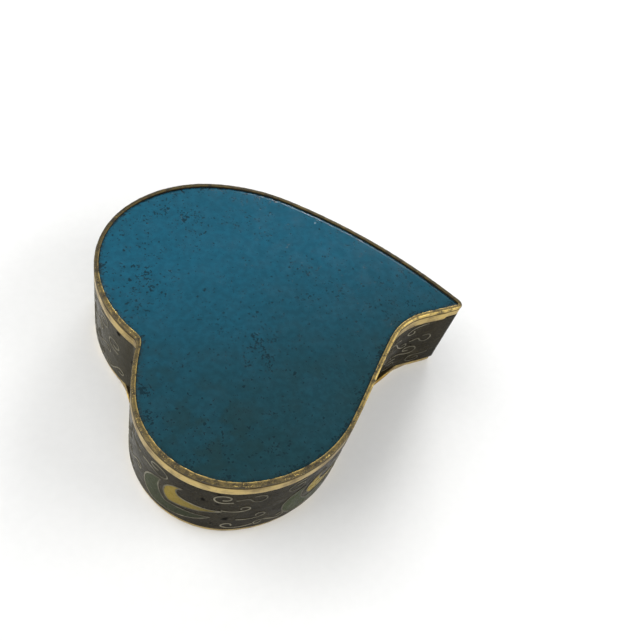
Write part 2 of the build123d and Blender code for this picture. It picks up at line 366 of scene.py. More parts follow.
def new_material(name):
    """An empty material with its shader, its node maker and its object coordinates."""
    material = bpy.data.materials.new(name)
    material.use_nodes = True
    tree = material.node_tree
    tree.nodes.clear()
    make = maker(tree)
    shader = make("ShaderNodeBsdfPrincipled")
    make("ShaderNodeOutputMaterial", {"Surface": shader.outputs["BSDF"]})
    place = make("ShaderNodeTexCoord").outputs["Object"]
    return material, make, shader, place


def rgb(value):
    """A colour with full alpha."""
    return (*value, 1.0)


def blended(make, factor, a, b, blend="MIX"):
    """One colour laid over another."""
    inputs = {0: factor, 6: a, 7: b}
    return make("ShaderNodeMix", inputs, data_type="RGBA", blend_type=blend).outputs[2]


def sums(make, operation, *values, clamp=False):
    """One step of arithmetic."""
    given = dict(enumerate(values))
    return make("ShaderNodeMath", given, operation=operation, use_clamp=clamp).outputs[0]


def product(make, *values):
    """Values multiplied together, in order."""
    total = values[0]
    for value in values[1:]:
        total = sums(make, "MULTIPLY", total, value)
    return total


def scaled(make, value, by, plus):
    """A value multiplied and added to."""
    return sums(make, "MULTIPLY_ADD", value, by, plus)


def vectors(make, operation, a, b):
    """One step of arithmetic with vectors. SCALE takes a vector and a number."""
    given = {0: a, "Scale": b} if operation == "SCALE" else {0: a, 1: b}
    return make("ShaderNodeVectorMath", given, operation=operation).outputs[0]


def ranged(make, value, low, high, to_low=0.0, to_high=1.0):
    """A value's range turned smoothly into another."""
    node = make(
        "ShaderNodeMapRange",
        {"Value": value, "From Min": low, "From Max": high, "To Min": to_low, "To Max": to_high},
        interpolation_type="SMOOTHSTEP",
    )
    return node.outputs["Result"]


def mottle(make, place, size, detail=3.0, roughness=0.55):
    """Cloudy noise whose patches are about a given size."""
    node = make(
        "ShaderNodeTexNoise",
        {"Vector": place, "Scale": 1 / size, "Detail": detail, "Roughness": roughness},
    )
    return node.outputs["Fac"]


def patches(make, place, noise_kind, low, high, to_low=0.0, to_high=1.0):
    """Cloudy noise, given as (size in millimetres, detail, roughness), turned into a range."""
    size, *kind = noise_kind
    return ranged(make, mottle(make, place, size * MM, *kind), low, high, to_low, to_high)


def stretched(make, place, scale):
    """Coordinates drawn out along an axis."""
    return make("ShaderNodeMapping", {"Vector": place, "Scale": scale}).outputs["Vector"]


def marked(make, name):
    """A piece's own attribute."""
    return make("ShaderNodeAttribute", attribute_name=name).outputs["Fac"]


def dressed(make, shader, tone, rough, relief, metal=0.0):
    """Gives a shader its colour, roughness, relief (height, depth, strength) and metal."""
    height, depth, strength = relief
    bump = make("ShaderNodeBump", {"Height": height, "Strength": strength, "Distance": depth})
    feed(shader.inputs["Base Color"], tone)
    feed(shader.inputs["Roughness"], rough)
    feed(shader.inputs["Metallic"], metal)
    feed(shader.inputs["Normal"], bump.outputs["Normal"])


def fired_pits(make, place, size, gate):
    """Small uneven pits, from 0 outside to 1 inside, in as many cells as the gate lets through."""
    push = make("ShaderNodeTexNoise", {"Vector": place, "Scale": 2.2 / size, "Detail": 2.0})
    aside = vectors(make, "SCALE", push.outputs["Color"], size * 0.9)
    bent = vectors(make, "ADD", place, aside)
    cells = make("ShaderNodeTexVoronoi", {"Vector": bent, "Scale": 1 / size, "Randomness": 1.0})
    chance = make("ShaderNodeSeparateColor", {"Color": cells.outputs["Color"]}).outputs
    wanted = sums(make, "LESS_THAN", chance[0], gate)
    width = scaled(make, chance[1], 0.20, 0.14)
    hole = sums(make, "LESS_THAN", cells.outputs["Distance"], width)
    return product(make, wanted, hole)


def pitted(make, height, share, pits):
    """A height scaled to a share, less the pits."""
    return scaled(make, height, share, sums(make, "SUBTRACT", 0.0, pits))


def clouded(make, value, cloud):
    """A value moved up and down by a cloudy noise, kept between 0 and 1."""
    return sums(make, "ADD", value, scaled(make, cloud, 0.5, -0.25), clamp=True)


# --- Materials ---


def lid_enamel_material():
    """Turquoise fired enamel, bluer on the far side, with clustered pits and dull green stains. The
    far side is also painted lighter and the near side darker, as painted reflection.
    """
    c = colours()
    material, make, shader, place = new_material("lid_turquoise")
    across = make("ShaderNodeSeparateXYZ", {"Vector": place}).outputs
    slant = scaled(make, across["X"], -0.25, across["Y"])
    # Painted reflection: the lid is painted lighter towards the far side and darker towards the
    # near side.
    far = clouded(make, ranged(make, slant, -30 * MM, 26 * MM), mottle(make, place, 14 * MM))
    tone = blended(make, far, rgb(c.lid_near_tint_and_shade), rgb(c.lid_far_tint_and_sheen))
    grain = patches(make, place, (1.3,), 0.35, 0.68, 0.88, 1.10)
    grey = make("ShaderNodeCombineColor", {0: grain, 1: grain, 2: grain}).outputs[0]
    tone = blended(make, 1.0, tone, grey, "MULTIPLY")

    # Darker speckles along the enamel's edge by the rim.
    rim_edge_darkening = patches(make, place, (0.5, 3.0, 0.65), 0.42, 0.60)
    rim_edge_darkening = product(make, marked(make, "Edge"), rim_edge_darkening, 0.8)
    tone = blended(make, rim_edge_darkening, tone, (0.006, 0.012, 0.010, 1))
    stained = patches(make, place, (5,), 0.47, 0.60)
    stained = product(make, stained, product(make, marked(make, "Stain"), 0.6))
    tone = blended(make, stained, tone, rgb(c.lid_stain))

    pitting = marked(make, "Pitting")
    small = fired_pits(make, place, 0.70 * MM, scaled(make, pitting, 0.95, 0.035))
    large = fired_pits(make, place, 1.1 * MM, scaled(make, pitting, 0.16, 0.012))
    crowded = patches(make, place, (2.8, 3.0, 0.6), 0.46, 0.64)
    crowded = product(make, crowded, sums(make, "ADD", pitting, 0.22, clamp=True))
    limit = scaled(make, crowded, -0.26, 0.69)
    specks = sums(make, "GREATER_THAN", mottle(make, place, 0.55 * MM, 2.5, 0.6), limit)
    pits = sums(make, "MAXIMUM", sums(make, "MAXIMUM", small, large), specks)
    tone = blended(make, product(make, pits, 0.80), tone, (0.001, 0.014, 0.020, 1))

    rough = patches(make, place, (4,), 0.35, 0.7, 0.16, 0.26)
    peel = pitted(make, mottle(make, place, 1.8 * MM), 0.35, pits)
    dressed(make, shader, tone, rough, (peel, 0.012 * MM, 0.4))
    shader.inputs["Specular IOR Level"].default_value = 0.40
    return material


def inner_enamel_material():
    """The plain turquoise inside and under the box."""
    material, make, shader, place = new_material("inner_turquoise")
    base = Vector(colours().inside)
    cloud = patches(make, place, (6,), 0.3, 0.7)
    tone = blended(make, cloud, rgb(base * 0.72), rgb(base * 1.1))
    pits = fired_pits(make, place, 1.6 * MM, 0.07)
    tone = blended(make, product(make, pits, 0.8), tone, (0.008, 0.010, 0.009, 1))
    rough = patches(make, place, (3,), 0.35, 0.7, 0.16, 0.28)
    height = pitted(make, mottle(make, place, 2 * MM), 0.4, pits)
    dressed(make, shader, tone, rough, (height, 0.05 * MM, 0.6))
    return material


def ground_material():
    """Nearly black ground, painted paler on the larger lobe's end as painted reflection, with
    ripples from grinding it flat.
    """
    material, make, shader, place = new_material("ground_black")
    base = Vector(colours().ground)
    speckle = patches(make, place, (0.40, 4.0, 0.7), 0.50, 0.70)
    cloud = patches(make, place, (5,), 0.35, 0.7)
    tone = blended(make, cloud, rgb(base * 0.75), rgb(base * 1.4))
    tone = blended(make, product(make, speckle, 0.5), tone, rgb(base * 4.5))

    uv = make("ShaderNodeUVMap", uv_map=WALL_UV).outputs["UV"]
    drawn_out = stretched(make, uv, (0.06, 1.0, 1.0))
    # Light streaks along the wall: partly scratches, partly painted reflection of a streaky sheen.
    scratches_and_sheen = patches(make, drawn_out, (0.35, 3.0), 0.52, 0.72)
    scratch_and_sheen_patches = patches(make, place, (9,), 0.48, 0.66, 0.0, 0.55)
    tone = blended(make, product(make, scratches_and_sheen, scratch_and_sheen_patches), tone, rgb(base * 6.0))

    # Painted reflection: the wall's end at low X is painted paler, in place of a bright reflection.
    across = make("ShaderNodeSeparateXYZ", {"Vector": place}).outputs["X"]
    painted_reflection_at_lobes = ranged(make, across, -38 * MM, -20 * MM, 0.55, 0.0)
    tone = blended(make, painted_reflection_at_lobes, tone, rgb(base + Vector((0.065, 0.063, 0.050))))
    pits = fired_pits(make, place, 2.3 * MM, 0.10)
    tone = blended(make, product(make, pits, 0.9), tone, (0.002, 0.002, 0.0015, 1))

    rough = patches(make, place, (2.2,), 0.35, 0.7, 0.18, 0.36)
    rough = sums(make, "MAXIMUM", rough, product(make, pits, 0.6))
    ripple = mottle(make, stretched(make, uv, (0.35, 1.0, 1.0)), 1.6 * MM, 2.0)
    dressed(make, shader, tone, rough, (pitted(make, ripple, 0.8, pits), 0.08 * MM, 0.6))
    shader.inputs["Specular IOR Level"].default_value = WALL_SHINE
    shader.inputs["Specular Tint"].default_value = (1.0, 0.88, 0.66, 1.0)
    return material


def leaf_material(name, start, end):
    """Leaf enamel that shades from one colour at its start to another at its tail."""
    material, make, shader, place = new_material(name)
    cloud = mottle(make, place, 1.5 * MM)
    tone = blended(make, clouded(make, marked(make, "Tail"), cloud), rgb(start), rgb(end))
    dark = patches(make, place, (0.4, 4.0), 0.55, 0.75, 0.0, 0.45)
    tone = blended(make, dark, tone, rgb(Vector(end) * 0.45))
    pits = fired_pits(make, place, 1.1 * MM, 0.16)
    tone = blended(make, product(make, pits, 0.8), tone, (0.01, 0.009, 0.005, 1))
    rough = patches(make, place, (1.2,), 0.35, 0.7, 0.2, 0.38)
    dressed(make, shader, tone, rough, (pitted(make, cloud, 0.5, pits), 0.05 * MM, 0.6))
    shader.inputs["Specular IOR Level"].default_value = WALL_SHINE
    shader.inputs["Specular Tint"].default_value = (1.0, 0.92, 0.74, 1.0)
    return material


def band_material():
    """Smooth golden brass with drawn streaks, dull patches, and darkening that is dirt and painted
    shade in its seam and painted shade under the wall's edge.
    """
    c = colours()
    material, make, shader, place = new_material("band_brass")
    uv = make("ShaderNodeUVMap", uv_map=WALL_UV).outputs["UV"]
    streak = mottle(make, stretched(make, uv, (0.07, 1.0, 1.0)), 0.30 * MM, 4.0, 0.65)
    cloud = mottle(make, place, 3.2 * MM, 4.0)
    mixed = sums(make, "ADD", product(make, streak, 0.45), product(make, cloud, 0.55))
    dull = ranged(make, mixed, 0.42, 0.62)
    tone = blended(make, dull, rgb(c.brass), rgb(c.brass_dull))
    spots = patches(make, place, (0.55, 4.0, 0.7), 0.60, 0.72)
    tone = blended(make, product(make, spots, 0.6), tone, rgb(Vector(c.brass_dull) * 0.4))
    dirt_and_shade = marked(make, "Dirt")
    # Painted shade and dirt: darkened by the mark, in seams and under the wall's edge.
    tone = blended(make, dirt_and_shade, tone, (0.022, 0.016, 0.009, 1))
    rough = ranged(make, sums(make, "ADD", dull, spots), 0.0, 1.6, 0.30, 0.52)
    rough = sums(make, "MAXIMUM", rough, product(make, dirt_and_shade, 0.85))
    height = scaled(make, streak, 0.7, mottle(make, place, 0.8 * MM))
    dressed(make, shader, tone, rough, (height, 0.03 * MM, 0.5), metal=0.9)
    return material


def rim_material():
    """Rubbed and tarnished rim: brown-olive skin, gold flecks and a bright inner edge."""
    c = colours()
    material, make, shader, place = new_material("rim_worn")
    cloud = mottle(make, place, 1.6 * MM, 5.0, 0.65)
    fine = mottle(make, place, 0.28 * MM, 4.0, 0.7)
    mixed = sums(make, "ADD", product(make, cloud, 0.55), product(make, fine, 0.45))
    worn = ranged(make, mixed, 0.40, 0.60)
    tone = blended(make, worn, rgb(c.rim_tarnish), rgb(c.rim_metal))
    thin = patches(make, place, (2.4,), 0.42, 0.6)
    flecks = product(make, ranged(make, fine, 0.56, 0.66), thin)
    rubbed = product(make, marked(make, "Rubbed"), ranged(make, cloud, 0.36, 0.56))
    bright = sums(make, "MAXIMUM", flecks, rubbed)
    tone = blended(make, bright, tone, rgb(Vector(c.brass) * 1.15))
    # Dirt in the seam, and painted shade on the far side.
    tone = blended(make, marked(make, "Dirt"), tone, (0.018, 0.013, 0.008, 1))
    rough = ranged(make, bright, 0.0, 1.0, 0.62, 0.34)
    metal = ranged(make, sums(make, "MAXIMUM", worn, bright), 0.0, 1.0, 0.45, 0.95)
    dressed(make, shader, tone, rough, (mixed, 0.10 * MM, 0.9), metal)
    return material


def wire_material():
    """Pale wire, rubbed flush and dulled in places."""
    material, make, shader, place = new_material("wire_brass")
    base = Vector(colours().wire)
    cloud = patches(make, place, (6.0, 4.0, 0.6), 0.38, 0.62)
    tone = blended(make, cloud, rgb(base * 0.35), rgb(base))
    rough = ranged(make, cloud, 0.0, 1.0, 0.55, 0.36)
    dressed(make, shader, tone, rough, (mottle(make, place, 0.3 * MM), 0.02 * MM, 0.6), 0.85)
    return material


def copper_material():
    """Dull copper sheet, darkened by the kiln."""
    material, make, shader, place = new_material("copper_sheet")
    base = Vector(colours().copper)
    cloud = patches(make, place, (4, 4.0, 0.65), 0.35, 0.65)
    tone = blended(make, cloud, rgb(base * 0.4), rgb(base))
    rough = ranged(make, cloud, 0.0, 1.0, 0.6, 0.4)
    dressed(make, shader, tone, rough, (mottle(make, place, 0.6 * MM), 0.03 * MM, 0.5), 0.9)
    return material


SHARED_MATERIALS = {
    "band": ("band_brass", band_material),
    "inner": ("inner_turquoise", inner_enamel_material),
    "wire": ("wire_brass", wire_material),
}


def shared_material(kind):
    """A material that several pieces share."""
    name, build = SHARED_MATERIALS[kind]
    return bpy.data.materials.get(name) or build()


# --- Mesh helpers ---


def new_object(name, mesh):
    """An object at the origin, linked to the scene."""
    piece = bpy.data.objects.new(name, mesh)
    bpy.context.scene.collection.objects.link(piece)
    return piece


def mesh_object(name, bm):
    """A smooth object from a bmesh, which is freed."""
    mesh = bpy.data.meshes.new(name)
    bm.to_mesh(mesh)
    bm.free()
    smoothed(mesh)
    return new_object(name, mesh)


def smoothed(mesh, degrees=38):
    """Smooth shading, with edges sharper than the angle kept crisp."""
    mesh.shade_smooth()
    mesh.set_sharp_from_angle(angle=math.radians(degrees))


def marked_points(mesh, name, values):
    """A value for each point of a mesh, under a name that a material reads."""
    marks = mesh.attributes.new(name, "FLOAT", "POINT")
    marks.data.foreach_set("value", np.asarray(values, np.float32))


def ringed_piece(name, rings, marks=None):
    """A closed skin over rings that go up the outside, inwards, down the inside and back.

    Each ring is (inset, height). An inset, a height or a mark is one number for the whole
    ring, or one for each point of the outline.
    """
    loops = [
        np.column_stack([inset_loop(inset), np.broadcast_to(height, COUNT)])
        for inset, height in rings
    ]
    points = np.concatenate(loops)
    total = len(loops)
    index = np.arange(COUNT)
    following = (index + 1) % COUNT
    side = np.linalg.norm(np.roll(loops, -1, 0) - np.array(loops), axis=2).mean(1)
    depth = np.concatenate([[0], np.cumsum(side)])
    ends = ROUND + PERIMETER / COUNT
    faces, corners = [], []
    for r in range(total):
        a, b = r * COUNT, (r + 1) % total * COUNT
        faces.append(np.stack([a + index, a + following, b + following, b + index], 1))
        low, high = np.full(COUNT, depth[r]), np.full(COUNT, depth[r + 1])
        corners.append(np.stack([ROUND, low, ends, low, ends, high, ROUND, high], 1))
    mesh = bpy.data.meshes.new(name)
    mesh.from_pydata(points.tolist(), [], np.concatenate(faces).tolist())
    mesh.uv_layers.new(name=WALL_UV).data.foreach_set(
        "uv", np.concatenate(corners).astype(np.float32).ravel()
    )
    for mark, values in (marks or {}).items():
        spread = [np.broadcast_to(value, COUNT) for value in values]
        marked_points(mesh, mark, np.concatenate(spread))
    smoothed(mesh)
    return new_object(name, mesh)


def spaced(loop, gap):
    """A loop without the points that lie closer to the last than the gap."""
    kept = [loop[0]]
    for point in loop[1:]:
        if np.linalg.norm(point - kept[-1]) > gap:
            kept.append(point)
    if np.linalg.norm(kept[-1] - kept[0]) < gap:
        kept.pop()
    return np.array(kept)


def slab(loop, inner, low, top):
    """A flat-backed closed plate inside a loop. top gives the height of its face at each point."""
    outer = len(loop)
    points = [Vector(p) for p in np.vstack([loop, inner])]
    edges = [(i, (i + 1) % outer) for i in range(outer)]
    flat, _, triangles, *_ = delaunay_2d_cdt(points, edges, [], 1, 1e-8)
    spots = np.array(flat)
    heights = top(spots)
    bm = bmesh.new()
    verts = [bm.verts.new((x, y, z)) for (x, y), z in zip(spots, heights)]
    for triangle in triangles:
        bm.faces.new([verts[i] for i in triangle])
    edge = [e for e in bm.edges if e.is_boundary]
    made = bmesh.ops.extrude_edge_only(bm, edges=edge)["geom"]
    for v in made:
        if isinstance(v, bmesh.types.BMVert):
            v.co.z = low
    bmesh.ops.holes_fill(bm, edges=[e for e in made if isinstance(e, bmesh.types.BMEdge)], sides=0)
    bmesh.ops.recalc_face_normals(bm, faces=bm.faces)
    bmesh.ops.triangulate(bm, faces=[f for f in bm.faces if len(f.verts) > 4])
    return bm


def grid_inside(low, high, pitch):
    """Points of a staggered grid over a rectangle."""
    xs = np.arange(low[0], high[0], pitch)
    ys = np.arange(low[1], high[1], pitch * 0.87)
    points = [(x + (row % 2) * pitch / 2, y) for row, y in enumerate(ys) for x in xs]
    return np.array(points)


def heart_plate(name, inset, low, top, pitch, margin):
    """A plate that fills the heart inside an inset, its face at top(points, gaps to the edge)."""
    loop = spaced(inset_loop(inset), 0.04 * MM)
    inner = grid_inside(OUTLINE.min(0), OUTLINE.max(0), pitch)
    inner = inner[away(inner) > inset + margin]
    bands = [
        spaced(inset_loop(inset + margin * share), 0.12 * MM) for share in (0.12, 0.28, 0.48, 0.72)
    ]
    inner = np.vstack([*bands, inner]) if margin > 0.5 * MM else inner
    bm = slab(loop, inner, low, lambda spots: top(spots, np.maximum(away(spots) - inset, 0)))
    return mesh_object(name, bm)


def level_plate(name, inset, low, face):
    """A plate with a level face."""
    margin, pitch = 0.3 * MM, 2.5 * MM
    return heart_plate(
        name, inset, low, lambda spots, edge: np.full(len(spots), face), pitch, margin
    )


def quarter_turn(steps):
    """Angles from 0 to a right angle."""
    return [math.pi / 2 * k / steps for k in range(steps + 1)]


def rounded_ring(outside, inside, low, high, radius, steps=5, rows=1):
    """The rings of a band with rounded outer edges, from its outer foot round to its inner foot."""
    turn = quarter_turn(steps)
    foot = [(outside + radius * (1 - math.sin(t)), low + radius * (1 - math.cos(t))) for t in turn]
    head = [(outside + radius * (1 - math.cos(t)), high - radius * (1 - math.sin(t))) for t in turn]
    middle = [
        (outside, low + radius + (high - low - 2 * radius) * k / rows) for k in range(1, rows)
    ]
    return [*foot, *middle, *head, (inside, high), (inside, low)]


def settled(piece, body, node, material=None):
    """Puts a finished piece in the place of its CAD node, with its material if it has none yet."""
    if material:
        piece.data.materials.append(material)
    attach(piece, body)
    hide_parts(node)


def apply_nodes(piece, tree, **inputs):
    """Runs a node tree on a piece with named inputs, and keeps the result as its mesh."""
    modifier = piece.modifiers.new(tree.name, "NODES")
    modifier.node_group = tree
    for item in tree.interface.items_tree:
        if item.item_type == "SOCKET" and item.in_out == "INPUT" and item.name in inputs:
            modifier[item.identifier] = inputs[item.name]
    bpy.context.view_layer.update()
    seen = piece.evaluated_get(bpy.context.evaluated_depsgraph_get())
    mesh = bpy.data.meshes.new_from_object(seen)
    mesh.name = name = piece.name
    piece.modifiers.clear()
    if piece.type == "MESH":
        piece.data = mesh
        return piece
    bpy.data.objects.remove(piece)
    return new_object(name, mesh)


def dented(piece, depth, grain, seed, material):
    """Wears a metal piece."""
    apply_nodes(piece, wear_tree(), Depth=depth, Grain=grain, Seed=seed, Material=material)


# --- Geometry node trees ---


def new_tree(name, inputs):
    """An empty geometry tree with named inputs, its node maker and its input and output nodes."""
    tree = bpy.data.node_groups.new(name, "GeometryNodeTree")
    tree.interface.new_socket("Geometry", in_out="OUTPUT", socket_type="NodeSocketGeometry")
    tree.interface.new_socket("Geometry", in_out="INPUT", socket_type="NodeSocketGeometry")
    for label, kind in inputs.items():
        tree.interface.new_socket(label, in_out="INPUT", socket_type=f"NodeSocket{kind}")
    make = maker(tree)
    return tree, make, make("NodeGroupInput").outputs, make("NodeGroupOutput")


def finish_tree(tree, make, geometry, material, output):
    """Ends a tree in plain geometry with its material."""
    real = make("GeometryNodeRealizeInstances", {"Geometry": geometry})
    painted = make("GeometryNodeSetMaterial", {"Geometry": real.outputs[0], "Material": material})
    tree.links.new(painted.outputs[0], output.inputs[0])


def wear_tree():
    """Rubs hollows into a metal surface: each point moves in along its normal by a noise."""
    tree, make, given, output = new_tree(
        "Rubbed metal",
        {"Depth": "Float", "Grain": "Float", "Seed": "Int", "Material": "Material"},
    )
    place = make("GeometryNodeInputPosition").outputs[0]
    shift = make("ShaderNodeCombineXYZ", {"X": given["Seed"]}).outputs[0]
    inputs = {
        "Vector": vectors(make, "ADD", place, shift),
        "Scale": sums(make, "DIVIDE", 1.0, given["Grain"]),
        "Detail": 3.0,
    }
    cloud = make("ShaderNodeTexNoise", inputs).outputs["Fac"]
    hollow = make(
        "ShaderNodeMapRange",
        {"Value": cloud, "From Min": 0.32, "From Max": 0.68, "To Min": 0.0, "To Max": -1.0},
    ).outputs["Result"]
    normal = make("GeometryNodeInputNormal").outputs[0]
    move = vectors(make, "SCALE", normal, product(make, hollow, given["Depth"]))
    moved = make("GeometryNodeSetPosition", {"Geometry": given["Geometry"], "Offset": move})
    finish_tree(tree, make, moved.outputs[0], given["Material"], output)
    return tree


def wire_nodes(make, given, curves):
    """Wire along flat curves, wrapped round the wall: X becomes the way round, Y the height."""
    spacing = {"Curve": curves, "Length": given["Wire Spacing"]}
    even = make("GeometryNodeResampleCurve", spacing, mode="LENGTH")
    level = make("GeometryNodeSetCurveNormal", {"Curve": even.outputs[0]}, mode="Z_UP")
    section = make(
        "GeometryNodeCurvePrimitiveQuadrilateral",
        {"Width": given["Wire Width"], "Height": given["Wire Depth"]},
        mode="RECTANGLE",
    )
    strip = make(
        "GeometryNodeCurveToMesh",
        {"Curve": level.outputs[0], "Profile Curve": section.outputs[0], "Fill Caps": True},
    )
    flat = make("GeometryNodeInputPosition").outputs[0]
    flat = make("ShaderNodeSeparateXYZ", {"Vector": flat}).outputs
    outline = make("GeometryNodeObjectInfo", {"Object": given["Outline"]})
    at = make(
        "GeometryNodeSampleCurve",
        {"Curves": outline.outputs["Geometry"], "Length": flat["X"]},
        mode="LENGTH",
        use_all_curves=True,
    )
    out = vectors(make, "CROSS_PRODUCT", at.outputs["Tangent"], UP)
    front = sums(make, "ADD", product(make, given["Wire Depth"], -0.5), given["Proud"])
    aside = vectors(make, "SCALE", out, sums(make, "ADD", flat["Z"], front))
    limits = {"Value": flat["Y"], "Min": given["Lowest"], "Max": given["Highest"]}
    held = make("ShaderNodeClamp", limits).outputs[0]
    lift = make("ShaderNodeCombineXYZ", {"Z": held}).outputs[0]
    place = vectors(make, "ADD", vectors(make, "ADD", at.outputs["Position"], aside), lift)
    bent = make("GeometryNodeSetPosition", {"Geometry": strip.outputs[0], "Position": place})
    return bent.outputs[0]


WIRE_INPUTS = {
    "Outline": "Object",
    "Material": "Material",
    **dict.fromkeys(
        ("Wire Width", "Wire Depth", "Wire Spacing", "Proud", "Lowest", "Highest"), "Float"
    ),
}


def leaf_wire_tree():
    """Wire bent round flat outlines and wrapped on the wall."""
    tree, make, given, output = new_tree("Leaf wire", WIRE_INPUTS)
    bent = wire_nodes(make, given, given["Geometry"])
    finish_tree(tree, make, bent, given["Material"], output)
    return tree


def scroll_tree():
    """Wire scrolls on given places: a random pattern each, turned, flipped and sized."""
    tree, make, given, output = new_tree(
        "Cloud scrolls",
        {
            **WIRE_INPUTS,
            "Patterns": "Collection",
            **dict.fromkeys(("Kinds", "Seed"), "Int"),
            **dict.fromkeys(("Tilt", "Smallest", "Largest"), "Float"),
        },
    )

    def chance(kind, low, high, step):
        node = make("FunctionNodeRandomValue", data_type=kind)
        ends = [s for s in node.inputs if s.enabled and s.name in ("Min", "Max")]
        for socket, value in zip(ends, (low, high)):
            feed(socket, value)
        feed(node.inputs["Seed"], sums(make, "ADD", given["Seed"], step))
        return next(s for s in node.outputs if s.enabled)

    def flip(step):
        return scaled(make, chance("INT", 0, 1, step), 2.0, -1.0)

    patterns = make(
        "GeometryNodeCollectionInfo",
        {"Collection": given["Patterns"], "Separate Children": True, "Reset Children": True},
    )
    last = sums(make, "ADD", given["Kinds"], -1.0)
    size = chance("FLOAT", given["Smallest"], given["Largest"], 1.0)
    across, upright = product(make, flip(2.0), size), product(make, flip(3.0), size)
    scale = make("ShaderNodeCombineXYZ", {"X": across, "Y": upright, "Z": 1.0}).outputs[0]
    tilt = chance("FLOAT", product(make, given["Tilt"], -1.0), given["Tilt"], 4.0)
    placed = make(
        "GeometryNodeInstanceOnPoints",
        {
            "Points": given["Geometry"],
            "Instance": patterns.outputs[0],
            "Pick Instance": True,
            "Instance Index": chance("INT", 0, last, 5.0),
            "Rotation": make("ShaderNodeCombineXYZ", {"Z": tilt}).outputs[0],
            "Scale": scale,
        },
    )
    real = make("GeometryNodeRealizeInstances", {"Geometry": placed.outputs[0]})
    bent = wire_nodes(make, given, real.outputs[0])
    finish_tree(tree, make, bent, given["Material"], output)
    return tree


# --- Leaves and scrolls, drawn flat with X the way round and Y up ---

# Each side of a leaf is an arc, given as its start, a point on it and its end.
YELLOW_LEAF = (
    ((-0.2, 5.9), (-3.9, 2.6), (-2.6, -1.2)),
    ((-2.6, -1.2), (2.5, -0.1), (7.4, 1.5)),
    ((7.4, 1.5), (3.8, 1.7), (0.2, 2.2)),
    ((0.2, 2.2), (-1.4, 3.8), (-0.2, 5.9)),
)
GREEN_LEAF = (
    ((-4.8, 4.2), (-8.9, -1.2), (-6.4, -5.4)),
    ((-6.4, -5.4), (-0.4, -5.0), (5.6, -1.6)),
    ((5.6, -1.6), (0.8, -2.0), (-3.4, -2.4)),
    ((-3.4, -2.4), (-5.1, 0.6), (-4.8, 4.2)),
)
# The points that each scroll's curve is drawn towards.
SCROLL_PATTERNS = {
    "curled_cloud": (
        (-3.6, -1.4), (-1.8, -0.9), (0.2, -1.6), (2.2, -1.3), (3.0, 0.2),
        (1.8, 1.5), (-0.6, 1.5), (-1.7, 0.4), (-0.6, -0.4), (0.6, 0.1),
    ),
    "loop_with_tail": (
        (1.3, -0.9), (0.2, -1.7), (-1.4, -1.4), (-2.0, 0.2), (-1.0, 1.5),
        (0.7, 1.4), (1.5, 0.4), (2.5, -0.1), (3.4, 0.8), (4.4, 1.3),
    ),
    "open_hook": (
        (-3.2, 1.2), (-1.2, 1.5), (1.4, 1.3), (2.8, 0.1), (1.6, -1.1), (0.2, -0.6), (0.6, 0.3),
    ),
    "double_curl": (
        (-1.3, 0.4), (-2.3, -0.4), (-3.2, 0.4), (-2.6, 1.5), (-0.9, 1.3), (0.4, 0.0),
        (1.6, -1.4), (3.2, -1.3), (3.6, -0.1), (2.7, 0.6), (1.9, -0.1),
    ),
    "round_loop": (
        (-1.7, -1.5), (-0.2, -1.8), (1.7, -1.2), (2.2, 0.5), (0.9, 1.8),
        (-1.1, 1.6), (-2.0, 0.3), (-0.9, -0.6), (0.3, -0.2),
    ),
}


def arc(start, via, end, gap=0.25):
    """Points on the circle through three points, a gap apart and without the last."""
    (ax, ay), (bx, by), (cx, cy) = start, via, end
    d = 2 * (ax * (by - cy) + bx * (cy - ay) + cx * (ay - by))
    a2, b2, c2 = ax * ax + ay * ay, bx * bx + by * by, cx * cx + cy * cy
    x = (a2 * (by - cy) + b2 * (cy - ay) + c2 * (ay - by)) / d
    y = (a2 * (cx - bx) + b2 * (ax - cx) + c2 * (bx - ax)) / d
    radius = math.hypot(ax - x, ay - y)
    first, middle, last = (math.atan2(py - y, px - x) for px, py in (start, via, end))
    sweep = (last - first) % (2 * math.pi)
    if (middle - first) % (2 * math.pi) > sweep:
        sweep -= 2 * math.pi
    count = max(3, round(abs(sweep) * radius / gap))
    turns = [first + sweep * k / count for k in range(count)]
    return [(x + radius * math.cos(t), y + radius * math.sin(t)) for t in turns]


def leaf_loop(arcs):
    """A leaf's flat outline, in metres."""
    return np.array([point for side in arcs for point in arc(*side)]) * MM


def spray_places():
    """Where each spray of leaves has its origin: (way round, height)."""
    yellow = leaf_loop(YELLOW_LEAF)
    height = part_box("leaf_yellow")[0].z - yellow[:, 1].min()
    return [(first - yellow[:, 0].min(), height) for first, _ in groups_round("leaf_yellow")]


def points_in(loop, pitch, margin):
    """Points of a grid that lie inside a closed loop and clear of it."""
    spots = grid_inside(loop.min(0), loop.max(0), pitch)
    inside = np.zeros(len(spots), bool)
    for (x1, y1), (x2, y2) in zip(loop, np.roll(loop, -1, 0)):
        crosses = (y1 > spots[:, 1]) != (y2 > spots[:, 1])
        crossing = (x2 - x1) * (spots[:, 1] - y1) / (y2 - y1 + 1e-12) + x1
        inside ^= crosses & (spots[:, 0] < crossing)
    gaps = np.linalg.norm(spots[:, None] - loop[None], axis=2).min(1)
    return spots[inside & (gaps > margin)]


